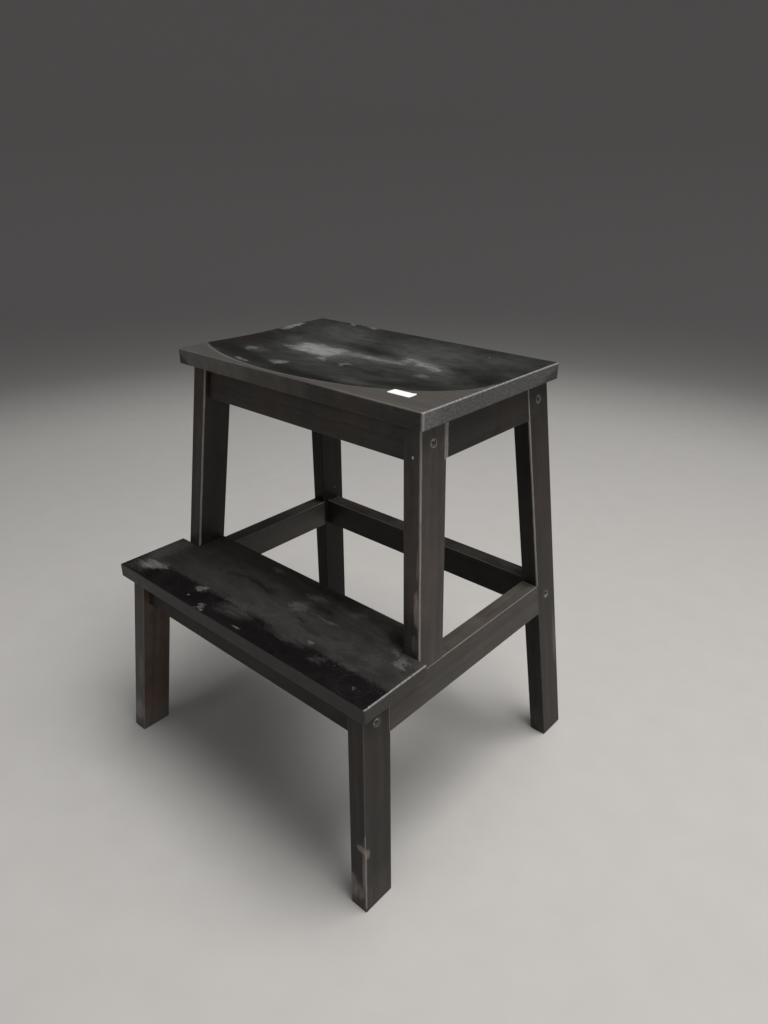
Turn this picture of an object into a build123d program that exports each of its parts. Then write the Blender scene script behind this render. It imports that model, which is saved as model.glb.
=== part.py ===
from build123d import *
import os
from math import tan, radians

os.makedirs("parts", exist_ok=True)

# Two-tread wooden step stool: two glued side frames, four bolted cross members and two treads
# screwed on from below. X to the stool's right, Y to the back (the low tread is at the front),
# Z up, floor at Z = 0, origin at the middle of the footprint. Sizes in mm.

# ---------------------------------------------------------------- frame
WIDTH = 430.0            # over the outer faces of the feet
DEPTH = 390.0            # front feet to rear feet
HEIGHT = 500.0           # floor to the rim of the top tread
LOW_HEIGHT = 249.0       # floor to the low tread
LEAN = 5.25              # degrees: frames lean inwards, legs rake fore and aft
FRONT_TO_REAR = 176.5    # upper front leg to rear leg, front faces, at the rim height

TOP_THICK = 18.0         # treads
LOW_THICK = 17.0
LEG_WIDTH = 39.0         # leg section along Y
LEG_THICK = 21.0         # leg and side rail section along X
RAIL_HEIGHT = 40.0       # side rails, side aprons and top aprons
STRETCHER_HEIGHT = 40.0
LOW_APRON_HEIGHT = 36.5  # front apron under the low tread
CROSS_THICK = 22.0       # cross members
RECESS = 8.0             # cross members sit this far back from the leg faces

EASE_LEG = 1.0           # radii of the eased arrises
EASE_RAIL = 0.8
EASE_TREAD = 1.5

# ---------------------------------------------------------------- treads and label
TOP_WIDTH = 364.0        # along X
TOP_DEPTH = 234.0        # along Y
TOP_FRONT_OVER = 13.5    # past the upper front legs' line, at the rim height
DISH_DEPTH = 4.0         # shallow hollow in the top tread
DISH_HALF_LENGTH = 207.0
DISH_HALF_WIDTH = 111.5
DISH_SHIFT = -30.0       # the hollow sits left of the middle
DISH_RIM = 100.0         # rim radius of the round cap, before it is stretched
DISH_SLAB = 20.0         # height of the piece kept from the ball

LOW_WIDTH = 408.0
LOW_FRONT_OVER = 11.3    # past the lower front legs
EAR_GAP = 0.35           # between the low tread's ears and the upper front legs
TONGUE_WIDTH = 340.0     # low tread between the upper front legs
TONGUE_END = 1.5         # tongue stops this far short of the legs' rear faces

LABEL_SIZE = (28.0, 12.5, 0.2)   # blank label, on the top tread's front right corner
LABEL_X = 129.5
LABEL_Y = -46.5

# ---------------------------------------------------------------- fixings
OVERRUN = 5.0            # dowel holes are cut this far past the joint face

BOLT_D = 5.0             # hexagon socket bolts
BOLT_LEN = 50.0          # shank
BOLT_HEAD_D = 7.6
BOLT_HEAD_HEIGHT = 5.0
BOLT_HEAD_EDGE = 0.6
BOLT_TIP_CHAMFER = 0.8
BOLT_KEY = 4.0           # socket across flats
BOLT_KEY_DEPTH = 2.8
BOLT_SINK = 1.2          # head below the leg's outer face
BOLT_BORE_D = 8.2        # counterbore in the leg
BOLT_BORE_LEN = 20.0
BOLT_CLEAR_D = 5.5       # through the leg
BOLT_HOLE_D = BOLT_CLEAR_D + 0.4   # in the cross member's end
BOLT_END_ROOM = 3.0      # hole past the bolt's tip
BOLT_OVERRUN = 10.0

NUT_D = 10.0             # cross-dowel nuts
NUT_LEN = 14.0
NUT_INSET = 28.0         # nut axis from the cross member's end
NUT_CHAMFER = 0.6
NUT_SLOT = (2.4, 1.4)    # along Y and Z
NUT_HOLE_D = 10.2
NUT_END_ROOM = 0.2

PEG_D = 6.0              # dowels in the cross members' ends
PEG_LEN = 30.0
PEG_IN_LEG = 10.0
PEG_SPREAD = 12.5        # above and below mid height
PEG_ROOM = 1.0           # hole past the end of the dowel
DOWEL_D = 8.0            # dowels inside the side frames
DOWEL_LEN = 30.0
DOWEL_IN_LEG = 10.0
DOWEL_SPREAD = 11.0
DOWEL_ROOM = 0.8         # hole past the dowel, in legs and for upright dowels
DOWEL_RAIL_ROOM = 1.0    # hole past the dowel, in rails
UPRIGHT_SETBACKS = (10.0, 28.0)   # upright dowels behind the leg's front face
DOWEL_CHAMFER = 0.8
FIT = 0.1                # radial room around dowels

SCREW_D = 4.5            # screws up into the treads
SCREW_LEN = 28.0         # below the head, point included
SCREW_POINT = 5.0
SCREW_TIP_R = 0.5
SCREW_HEAD_D = 8.5
SCREW_HEAD_HEIGHT = 3.0
SCREW_HEAD_EDGE = 1.2
SCREW_DRIVE = (5.0, 1.1, 3.2)     # one bar of the cross recess; half its height is in the head
SCREW_BORE_D = 9.0
SCREW_BORE_DEPTH = 24.0
SCREW_BORE_OVERRUN = 10.0
SCREW_DROP = RAIL_HEIGHT - SCREW_BORE_DEPTH   # head's seat below the tread's underside
SCREW_X = 60.0           # screws in the cross members, either side of the middle
EAR_SCREW_Y = -102.0     # screws through the side rails

INWARD = (-1, 0, 0)      # from the right side frame to the middle
UP = (0, 0, 1)

# ---------------------------------------------------------------- leaning faces, by height
SLOPE = tan(radians(LEAN))
TOP_UNDER = HEIGHT - TOP_THICK
LOW_UNDER = LOW_HEIGHT - LOW_THICK


def outer_x(z):
    """Outer face of the right side frame."""
    return WIDTH / 2 - SLOPE * z


def inner_x(z):
    return outer_x(z) - LEG_THICK


def mid_x(z):
    return outer_x(z) - LEG_THICK / 2


def rear_y(z):
    """Front face of the rear leg."""
    return DEPTH / 2 - LEG_WIDTH - SLOPE * z


def lower_y(z):
    """Front face of the lower front leg."""
    return -DEPTH / 2 + SLOPE * z


def upper_y(z):
    """Front face of the upper front leg."""
    return rear_y(HEIGHT) - FRONT_TO_REAR - SLOPE * (HEIGHT - z)


def shifted(face, distance):
    return lambda z: face(z) + distance


def behind(face):
    """Back face of the leg with this front face."""
    return shifted(face, LEG_WIDTH)


# ---------------------------------------------------------------- shape helpers
def block(bottom, top, left, right, front, back):
    """Six-sided timber between two levels; its four long faces are functions of height."""
    rings = [[Vector(left(z), front(z), z), Vector(right(z), front(z), z),
              Vector(right(z), back(z), z), Vector(left(z), back(z), z)] for z in (bottom, top)]
    quads = [rings[0][::-1], rings[1]]
    for i in range(4):
        j = (i + 1) % 4
        quads.append([rings[0][i], rings[0][j], rings[1][j], rings[1][i]])
    solid = Solid(Shell([Face(Wire.make_polygon(quad, close=True)) for quad in quads]))
    # A shell that closes inside out has negative volume and is turned round.
    return solid if solid.volume > 0 else Solid(solid.wrapped.Reversed())


def rod(diameter, length, start, axis):
    """Round bar from a point along an axis."""
    return Solid.make_cylinder(diameter / 2, length, Plane(origin=start, z_dir=axis))


def eased(solid, radius):
    return fillet(solid.edges(), radius)


def eased_tread(tread, corners):
    """Round the upright corners, then the top and bottom rims."""
    tread = fillet(corners, EASE_TREAD)
    tread = fillet(tread.edges().group_by(Axis.Z)[-1], EASE_TREAD)
    return fillet(tread.edges().group_by(Axis.Z)[0], EASE_TREAD)


def flip(solid):
    return mirror(solid, about=Plane.YZ)


def both_sides(solid):
    return [solid, flip(solid)]


# ---------------------------------------------------------------- fixing pieces
def socket_bolt(x, y, z):
    """Bolt pointing inward from the middle of its head's outer face."""
    head = rod(BOLT_HEAD_D, BOLT_HEAD_HEIGHT, (x, y, z), INWARD)
    head = fillet(head.edges().sort_by(Axis.X)[-1], BOLT_HEAD_EDGE)
    shank = rod(BOLT_D, BOLT_LEN, (x - BOLT_HEAD_HEIGHT, y, z), INWARD)
    shank = chamfer(shank.edges().sort_by(Axis.X)[0], BOLT_TIP_CHAMFER)
    hexagon = RegularPolygon(BOLT_KEY / 2, 6, major_radius=False)
    key = extrude(Plane(origin=(x, y, z), z_dir=INWARD) * hexagon, BOLT_KEY_DEPTH)
    return (head + shank - key).solids()[0]


def cross_nut(x, y, z, side):
    """Cross-dowel nut along Y, slotted on the end that shows in its hole."""
    nut = rod(NUT_D, NUT_LEN, (x, y - NUT_LEN / 2, z), (0, 1, 0))
    nut = chamfer(nut.edges().filter_by(GeomType.CIRCLE), NUT_CHAMFER)
    nut -= rod(BOLT_D + 0.1, 2 * NUT_D, (x - NUT_D, y, z), (1, 0, 0))
    nut -= Pos(x, y + side * NUT_LEN / 2, z) * Box(2 * NUT_D, *NUT_SLOT)
    return nut.solids()[0]


def wood_dowel(diameter, length, start, axis):
    bar = rod(diameter, length, start, axis)
    return chamfer(bar.edges().filter_by(GeomType.CIRCLE), DOWEL_CHAMFER).solids()[0]


def screw(x, y, under):
    """Screw pointing up into a tread whose underside is at the given level."""
    seat = under - SCREW_DROP
    straight = SCREW_LEN - SCREW_POINT
    head = rod(SCREW_HEAD_D, SCREW_HEAD_HEIGHT, (x, y, seat - SCREW_HEAD_HEIGHT), UP)
    head = fillet(head.edges().group_by(Axis.Z)[0], SCREW_HEAD_EDGE)
    shank = rod(SCREW_D, straight, (x, y, seat), UP)
    point = Solid.make_cone(SCREW_D / 2, SCREW_TIP_R, SCREW_POINT, Plane((x, y, seat + straight)))
    length, width, height = SCREW_DRIVE
    bars = Box(length, width, height) + Box(width, length, height)
    drive = Pos(x, y, seat - SCREW_HEAD_HEIGHT) * bars
    return (head + shank + point - drive).solids()[0]


def screw_holes(x, y, under):
    """Counterbore from below, and the shank's hole up to the tread."""
    seat = under - SCREW_DROP
    bore = SCREW_BORE_DEPTH + SCREW_BORE_OVERRUN
    return [rod(SCREW_BORE_D, bore, (x, y, seat - bore), UP),
            rod(SCREW_D + 0.3, SCREW_DROP + 2, (x, y, seat - 1), UP)]


def pilot(x, y, under):
    return rod(SCREW_D + 0.1, SCREW_LEN + 0.5, (x, y, under - SCREW_DROP), UP)


# ---------------------------------------------------------------- right side frame blanks
RAIL_BOTTOM = LOW_UNDER - RAIL_HEIGHT
APRON_BOTTOM = TOP_UNDER - RAIL_HEIGHT
# bottom, top, front face, back face, easing
SIDE_TIMBERS = {
    "rear_leg": (0, TOP_UNDER, rear_y, behind(rear_y), EASE_LEG),
    "upper_front_leg": (LOW_UNDER, TOP_UNDER, upper_y, behind(upper_y), EASE_LEG),
    "lower_front_leg": (0, LOW_UNDER, lower_y, behind(lower_y), EASE_LEG),
    "lower_side_rail": (RAIL_BOTTOM, LOW_UNDER, behind(lower_y), rear_y, EASE_RAIL),
    "upper_side_apron": (APRON_BOTTOM, TOP_UNDER, behind(upper_y), rear_y, EASE_RAIL),
}
timbers = {}
for name, (bottom, top, front, back, ease) in SIDE_TIMBERS.items():
    timbers[name] = eased(block(bottom, top, inner_x, outer_x, front, back), ease)
cuts = {name: [] for name in timbers}

# ---------------------------------------------------------------- bolted cross members
# bottom, top, front face, leg it meets, side the nut holes open on (+1 is the back),
# bolt above mid height
CROSS_MEMBERS = {
    "front_top_apron": (APRON_BOTTOM, TOP_UNDER, shifted(upper_y, RECESS),
                        "upper_front_leg", 1, 0.0),
    "rear_top_apron": (APRON_BOTTOM, TOP_UNDER,
                       shifted(rear_y, LEG_WIDTH - RECESS - CROSS_THICK), "rear_leg", -1, 0.0),
    "rear_stretcher": (LOW_UNDER - STRETCHER_HEIGHT, LOW_UNDER, shifted(rear_y, RECESS),
                       "rear_leg", 1, 1.0),
    "front_lower_apron": (LOW_UNDER - LOW_APRON_HEIGHT, LOW_UNDER, shifted(lower_y, RECESS),
                          "lower_front_leg", 1, 0.0),
}


def bolt_joint(z, y, leg, side):
    """Right-hand bolt and nut, and their holes in the cross member; drills the leg."""
    head_x = outer_x(z) - BOLT_SINK
    seat_x = head_x - BOLT_HEAD_HEIGHT
    nut_x = inner_x(z) - NUT_INSET
    cuts[leg] += [
        rod(BOLT_BORE_D, BOLT_BORE_LEN, (seat_x + BOLT_BORE_LEN, y, z), INWARD),
        rod(BOLT_CLEAR_D, 60, (outer_x(z) + BOLT_OVERRUN, y, z), INWARD),
    ]
    mouth_x = inner_x(z) + BOLT_OVERRUN
    hole_end = seat_x - BOLT_LEN - BOLT_END_ROOM
    nut_start = y - side * (NUT_LEN / 2 + NUT_END_ROOM)
    holes = [
        rod(BOLT_HOLE_D, mouth_x - hole_end, (mouth_x, y, z), INWARD),
        rod(NUT_HOLE_D, CROSS_THICK, (nut_x, nut_start, z), (0, side, 0)),
    ]
    return socket_bolt(head_x, y, z), cross_nut(nut_x, y, z, side), holes


def peg_joint(z, y, leg):
    """Right-hand dowel and its hole in the cross member; drills the leg."""
    joint_x = inner_x(z)
    peg_x = joint_x + PEG_IN_LEG
    hole_d = PEG_D + 2 * FIT
    cuts[leg].append(rod(hole_d, PEG_IN_LEG + PEG_ROOM + OVERRUN, (peg_x + PEG_ROOM, y, z), INWARD))
    hole = rod(hole_d, PEG_LEN - PEG_IN_LEG + PEG_ROOM + OVERRUN, (joint_x + OVERRUN, y, z), INWARD)
    return wood_dowel(PEG_D, PEG_LEN, (peg_x, y, z), INWARD), hole


cross, fixings = {}, {}
for name, (bottom, top, front, leg, side, bolt_up) in CROSS_MEMBERS.items():
    back = shifted(front, CROSS_THICK)
    middle = shifted(front, CROSS_THICK / 2)
    member = eased(block(bottom, top, lambda z: -inner_x(z), inner_x, front, back), EASE_RAIL)
    mid_z = (bottom + top) / 2
    bolt_z = mid_z + bolt_up
    bolt, nut, holes = bolt_joint(bolt_z, middle(bolt_z), leg, side)
    pegs = []
    for z in (mid_z - PEG_SPREAD, mid_z + PEG_SPREAD):
        peg, hole = peg_joint(z, middle(z), leg)
        pegs += both_sides(peg)
        holes.append(hole)
    for hole in holes:
        member = member - hole - flip(hole)
    cross[name] = member
    fixings[name + "_bolts"] = both_sides(bolt)
    fixings[name + "_barrel_nuts"] = both_sides(nut)
    fixings[name + "_dowels"] = pegs

# ---------------------------------------------------------------- dowels in the side frames
side_dowels = []
DOWEL_HOLE_D = DOWEL_D + 2 * FIT
RAIL_MID = LOW_UNDER - RAIL_HEIGHT / 2
APRON_MID = TOP_UNDER - RAIL_HEIGHT / 2


def frame_dowels(mid_z, face, leg, rail, way):
    """Two dowels across a leg-to-rail butt joint; way is the Y direction into the rail."""
    axis = (0, way, 0)
    leg_hole = DOWEL_IN_LEG + DOWEL_ROOM + OVERRUN
    rail_hole = DOWEL_LEN - DOWEL_IN_LEG + DOWEL_RAIL_ROOM + OVERRUN
    for z in (mid_z - DOWEL_SPREAD, mid_z + DOWEL_SPREAD):
        x, y = mid_x(z), face(z)
        start = y - way * DOWEL_IN_LEG
        side_dowels.append(wood_dowel(DOWEL_D, DOWEL_LEN, (x, start, z), axis))
        cuts[leg].append(rod(DOWEL_HOLE_D, leg_hole, (x, start - way * DOWEL_ROOM, z), axis))
        cuts[rail].append(rod(DOWEL_HOLE_D, rail_hole, (x, y - way * OVERRUN, z), axis))


frame_dowels(RAIL_MID, behind(lower_y), "lower_front_leg", "lower_side_rail", 1)
frame_dowels(RAIL_MID, rear_y, "rear_leg", "lower_side_rail", -1)
frame_dowels(APRON_MID, behind(upper_y), "upper_front_leg", "upper_side_apron", 1)
frame_dowels(APRON_MID, rear_y, "rear_leg", "upper_side_apron", -1)

# The upper front leg stands on the side rail on upright dowels, half in each.
for setback in UPRIGHT_SETBACKS:
    x, y, z = mid_x(LOW_UNDER), upper_y(LOW_UNDER) + setback, LOW_UNDER - DOWEL_LEN / 2
    side_dowels.append(wood_dowel(DOWEL_D, DOWEL_LEN, (x, y, z), UP))
    hole = rod(DOWEL_HOLE_D, DOWEL_LEN + 2 * DOWEL_ROOM, (x, y, z - DOWEL_ROOM), UP)
    cuts["upper_front_leg"].append(hole)
    cuts["lower_side_rail"].append(hole)

# ---------------------------------------------------------------- treads
TOP_MID_Y = upper_y(HEIGHT) - TOP_FRONT_OVER + TOP_DEPTH / 2


def dish():
    """Cutter for the hollow: the bottom of a very large ball, stretched to the outline."""
    radius = (DISH_RIM**2 + DISH_DEPTH**2) / (2 * DISH_DEPTH)
    slab = Pos(0, 0, -radius + DISH_SLAB / 2) * Box(3 * DISH_RIM, 3 * DISH_RIM, DISH_SLAB)
    cap = Solid.make_sphere(radius, Plane.XY) & slab
    cap = Pos(0, 0, radius - DISH_DEPTH) * cap
    cap = scale(cap, by=(DISH_HALF_LENGTH / DISH_RIM, DISH_HALF_WIDTH / DISH_RIM, 1))
    return Pos(DISH_SHIFT, TOP_MID_Y, HEIGHT) * cap


def top_tread():
    board = Box(TOP_WIDTH, TOP_DEPTH, TOP_THICK)
    tread = Pos(0, TOP_MID_Y, TOP_UNDER + TOP_THICK / 2) * board
    tread = eased_tread(tread, tread.edges().filter_by(Axis.Z))
    return (tread - dish()).solids()[0]


def low_tread():
    """T-shaped: ears in front of the upper legs, a tongue between them."""
    half, tongue = LOW_WIDTH / 2, TONGUE_WIDTH / 2
    front = lower_y(LOW_HEIGHT) - LOW_FRONT_OVER
    ear_back = upper_y(LOW_UNDER) - EAR_GAP
    tongue_back = upper_y(LOW_HEIGHT) + LEG_WIDTH - TONGUE_END
    outline = Polyline(
        (-half, front), (half, front), (half, ear_back), (tongue, ear_back),
        (tongue, tongue_back), (-tongue, tongue_back), (-tongue, ear_back),
        (-half, ear_back), (-half, front),
    )
    tread = extrude(Plane.XY.offset(LOW_UNDER) * make_face(outline), LOW_THICK)

    def is_inner_corner(edge):
        at = edge.center()
        return abs(abs(at.X) - tongue) < 1 and abs(at.Y - ear_back) < 1

    corners = [e for e in tread.edges().filter_by(Axis.Z) if not is_inner_corner(e)]
    return eased_tread(tread, corners)


# ---------------------------------------------------------------- tread screws
def screw_down(tread, name, under):
    """Screw a tread to a cross member; returns the drilled tread and its screws."""
    bottom, top, front = CROSS_MEMBERS[name][:3]
    y = front((bottom + top) / 2) + CROSS_THICK / 2
    screws = []
    for x in (-SCREW_X, SCREW_X):
        screws.append(screw(x, y, under))
        for hole in screw_holes(x, y, under):
            cross[name] = cross[name] - hole
        tread = tread - pilot(x, y, under)
    return tread, screws


top_step, front_screws = screw_down(top_tread(), "front_top_apron", TOP_UNDER)
top_step, rear_screws = screw_down(top_step, "rear_top_apron", TOP_UNDER)
lower_step, low_screws = screw_down(low_tread(), "front_lower_apron", LOW_UNDER)
ear_x = mid_x(RAIL_MID)
for x in (-ear_x, ear_x):
    low_screws.append(screw(x, EAR_SCREW_Y, LOW_UNDER))
    lower_step = lower_step - pilot(x, EAR_SCREW_Y, LOW_UNDER)
cuts["lower_side_rail"] += screw_holes(ear_x, EAR_SCREW_Y, LOW_UNDER)

# ---------------------------------------------------------------- one file per piece
out = {
    "top_step": top_step,
    "lower_step": lower_step,
    "blank_label": Pos(LABEL_X, LABEL_Y, HEIGHT + LABEL_SIZE[2] / 2) * Box(*LABEL_SIZE),
    **cross,
}
for name, timber in timbers.items():
    for cut in cuts[name]:
        timber = timber - cut
    out[name + "_right"] = timber
    out[name + "_left"] = flip(timber)

groups = {
    "top_step_screws": front_screws + rear_screws,
    "lower_step_screws": low_screws,
    **fixings,
    "side_frame_dowels_right": side_dowels,
    "side_frame_dowels_left": [flip(dowel) for dowel in side_dowels],
}
for name, solids in groups.items():
    out[name] = Compound(children=solids)
    out[name].label = name

for name, shape in out.items():
    export_step(shape, f"parts/{name}.step")
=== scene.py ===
"""A two-step wooden stool, stained near-black and worn, with a paper label.

It stands on z = 0. Its front, with the lower step, is at -Y, its rear legs are at +Y, and
right is +X. Wood materials work in mm; label, stage, lights and camera are in metres.
"""
import itertools
import math

import bmesh
import bpy
from mathutils import Matrix, Vector, noise


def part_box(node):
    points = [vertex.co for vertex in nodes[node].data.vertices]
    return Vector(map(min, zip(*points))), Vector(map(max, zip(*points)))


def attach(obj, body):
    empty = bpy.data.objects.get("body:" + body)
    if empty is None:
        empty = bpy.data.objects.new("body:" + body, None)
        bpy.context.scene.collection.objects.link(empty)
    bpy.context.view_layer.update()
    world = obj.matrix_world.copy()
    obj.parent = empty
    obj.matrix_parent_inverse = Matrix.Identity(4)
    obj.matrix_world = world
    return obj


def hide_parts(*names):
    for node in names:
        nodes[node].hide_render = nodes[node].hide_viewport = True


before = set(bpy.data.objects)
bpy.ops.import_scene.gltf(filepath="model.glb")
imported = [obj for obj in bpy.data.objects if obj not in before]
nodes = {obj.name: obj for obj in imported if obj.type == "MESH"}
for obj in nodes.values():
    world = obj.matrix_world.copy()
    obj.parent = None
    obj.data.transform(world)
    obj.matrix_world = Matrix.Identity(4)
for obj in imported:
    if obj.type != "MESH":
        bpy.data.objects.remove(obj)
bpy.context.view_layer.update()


# ---------------------------------------------------------------- dimensions, mm
def box_mm(node):
    low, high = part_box(node)
    return [c * 1000 for c in low], [c * 1000 for c in high]


(_, TOP_Y0, TOP_Z0), (TOP_X, TOP_Y1, TOP_Z1) = box_mm("top_step")
(_, LOW_Y0, LOW_Z0), (LOW_X, LOW_Y1, LOW_Z1) = box_mm("lower_step")
TOP_CY = (TOP_Y0 + TOP_Y1) / 2
LEAN = math.tan(math.radians(5.25))          # slope of the legs and side frames
X_OUT = 215.0                                # outer face of a side frame at the floor
Y_OUT = 195.0                                # half depth of a side frame at the floor
LEG_W, LEG_T = 39.0, 21.0                    # leg section: front to back, side to side
CROSS_T, RECESS = 22.0, 8.0                  # cross members: thickness and set-back
TOP_NOSE = 13.5                              # top step's front edge to the leg's front face
HOLE_R = 4.2                                 # bolt counterbores

# front faces at the floor; the upper front leg's is carried down to it
Y_REAR = Y_OUT - LEG_W
Y_LOW = -Y_OUT
Y_UP = TOP_Y0 + TOP_NOSE - LEAN * TOP_Z1


# ---------------------------------------------------------------- node trees as arithmetic
def math_operator(kind, swapped=False):
    def method(self, other):
        pair = (other, self) if swapped else (self, other)
        return self.tree.math(kind, *pair)
    return method


class Signal:
    """An output socket; + - * ** and abs() on it add Math nodes."""

    def __init__(self, tree, socket):
        self.tree, self.socket = tree, socket

    __add__, __radd__ = math_operator("ADD"), math_operator("ADD", swapped=True)
    __sub__, __rsub__ = math_operator("SUBTRACT"), math_operator("SUBTRACT", swapped=True)
    __mul__, __rmul__ = math_operator("MULTIPLY"), math_operator("MULTIPLY", swapped=True)
    __pow__ = math_operator("POWER")

    def __abs__(self):
        return self.tree.math("ABSOLUTE", self)

    def ramp(self, over, to=(0.0, 1.0), kind="LINEAR"):
        """Runs from to[0] at over[0] to to[1] at over[1]; over may fall."""
        if not isinstance(over[0], Signal) and over[0] > over[1]:
            over, to = over[::-1], to[::-1]
        inputs = dict(enumerate((self, *over, *to)))
        return self.tree.node("MapRange", inputs, interpolation_type=kind, clamp=True)[0]

    def fade(self, over, to=(0.0, 1.0)):
        return self.ramp(over, to, "SMOOTHSTEP")

    # these treat the signal as a vector or a colour
    def vector_math(self, kind, inputs, output=0):
        return self.tree.node("VectorMath", {0: self, **inputs}, operation=kind)[output]

    def shift(self, offset):
        return self.vector_math("ADD", {1: offset})

    def stretch(self, factors):
        return self.vector_math("MULTIPLY", {1: factors})

    def scaled(self, factor):
        return self.vector_math("SCALE", {"Scale": factor})

    def parts(self):
        outputs = self.tree.node("SeparateXYZ", {0: self})
        return [outputs[i] for i in range(3)]


class Outputs:
    """A node's outputs, by index or name, as signals."""

    def __init__(self, tree, sockets):
        self.tree, self.sockets = tree, sockets

    def __getitem__(self, key):
        return Signal(self.tree, self.sockets[key])


def lowest(first, *rest):
    for item in rest:
        first = first.tree.math("MINIMUM", first, item)
    return first


def highest(first, *rest):
    for item in rest:
        first = first.tree.math("MAXIMUM", first, item)
    return first


def hypot(a, b):
    return a.tree.math("SQRT", a ** 2.0 + b ** 2.0)


class Tree:
    """A material ending in a Principled shader; point is the position in mm."""

    def __init__(self, name):
        self.mat = bpy.data.materials.new(name)
        self.mat.use_nodes = True
        self.nt = self.mat.node_tree
        self.nt.nodes.clear()
        output = self.nt.nodes.new("ShaderNodeOutputMaterial")
        self.shader = self.nt.nodes.new("ShaderNodeBsdfPrincipled")
        self.nt.links.new(self.shader.outputs[0], output.inputs[0])
        self.point = self.node("TexCoord")["Object"].scaled(1000.0)

    def put(self, socket, value):
        if isinstance(value, Signal):
            self.nt.links.new(value.socket, socket)
        else:
            socket.default_value = value

    def node(self, kind, inputs=None, **settings):
        made = self.nt.nodes.new("ShaderNode" + kind)
        for name, value in settings.items():
            setattr(made, name, value)
        for key, value in (inputs or {}).items():
            self.put(made.inputs[key], value)
        return Outputs(self, made.outputs)

    def math(self, kind, *operands):
        return self.node("Math", dict(enumerate(operands)), operation=kind)[0]

    def vector(self, x, y, z):
        return self.node("CombineXYZ", {0: x, 1: y, 2: z})[0]

    def plane(self, nx, ny, nz, offset=0):
        """A linear function of the position in mm."""
        return self.point.vector_math("DOT_PRODUCT", {1: (nx, ny, nz)}, "Value") + offset

    def noise(self, at, scale, detail=3.0, rough=0.55, distort=0.0, output="Fac"):
        inputs = {"Vector": at, "Scale": scale, "Detail": detail, "Roughness": rough,
                  "Distortion": distort}
        return self.node("TexNoise", inputs)[output]

    def cells(self, at, scale):
        """Distance to the nearest Voronoi point, and a random colour for each cell."""
        outputs = self.node("TexVoronoi", {"Vector": at, "Scale": scale})
        return outputs["Distance"], outputs["Color"]

    def mix(self, mask, first, second):
        """Colours: first where mask is 0, second where it is 1."""
        first, second = ((*c, 1.0) if isinstance(c, tuple) else c for c in (first, second))
        return self.node("Mix", {0: mask, 6: first, 7: second}, data_type="RGBA")[2]

    def mix_value(self, mask, first, second):
        return self.node("Mix", {0: mask, 2: first, 3: second}, data_type="FLOAT")[0]

    def tint(self, mask, colour):
        self.colour = self.mix(mask, self.colour, colour)

    def roughen(self, mask, to):
        self.rough = self.mix_value(mask, self.rough, to)

    def shade(self, colour, rough, height=None, extra=None):
        """Connects the shader; height is in mm, extra holds further shader inputs."""
        inputs = {"Base Color": colour, "Roughness": rough, **(extra or {})}
        if height is not None:
            bump = {"Strength": 1.0, "Distance": 0.001, "Height": height}
            inputs["Normal"] = self.node("Bump", bump)[0]
        for key, value in inputs.items():
            self.put(self.shader.inputs[key], value)
        return self.mat


def give(node, material):
    slots = nodes[node].data.materials
    slots.clear()
    slots.append(material)


# ---------------------------------------------------------------- stained wood
seeds = itertools.count(1)     # one for each wooden piece, so that no two look alike


def lay_grain(wood, planes, seed):
    """Distances from the faces, and the solid textures the later coats share."""
    wood.depth = [wood.plane(*plane) for plane in planes]
    wood.across = wood.depth[0], wood.depth[2]
    wood.along = wood.depth[4]
    near = [lowest(wood.depth[i], wood.depth[i + 1]) for i in (0, 2, 4)]
    wood.near_end = near[2]
    wood.arris = highest(lowest(near[0], near[1]), lowest(highest(near[0], near[1]), near[2]))
    wood.up = highest(wood.node("NewGeometry")["Normal"].parts()[2], 0.0)
    wood.z = wood.point.parts()[2]
    wood.pos = pos = wood.point.shift((seed * 37.1, seed * 11.7, seed * 23.3))
    side_a, side_b = wood.across
    warp = wood.noise(pos, scale=0.012, detail=2.0)
    warped_a = side_a + warp * 9.0 + seed * 13.0
    warped_b = side_b + warp * 13.0 + seed * 7.0
    # long coordinates that follow the board; the ends cut them, so they show end grain
    wood.grain = lambda pace: wood.vector(warped_a, warped_b, wood.along * pace)
    wood.fibre = wood.noise(wood.grain(pace=0.03), scale=0.5, detail=5.0, rough=0.72)
    wood.hair = wood.noise(wood.grain(pace=0.05), scale=1.9, detail=2.0, rough=0.6)
    wood.figure = wood.noise(wood.grain(pace=0.02), scale=0.11, distort=0.7)
    pore_at = wood.vector(side_a + seed * 5.0, side_b + seed * 9.0, wood.along * 0.09)
    pore, _ = wood.cells(pore_at, scale=0.75)
    wood.pores = pore.fade(over=(0.34, 0.12)) * wood.fibre.fade(over=(0.40, 0.60))
    wood.broad = wood.noise(pos, scale=0.010, rough=0.6)
    wood.mid = wood.noise(pos, scale=0.045, detail=5.0, rough=0.68)
    wood.hue = wood.noise(pos.shift((91.0, 17.0, 5.0)), scale=0.014, rough=0.6)
    wood.fine = wood.noise(pos, scale=0.42, detail=4.0, rough=0.72)


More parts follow.
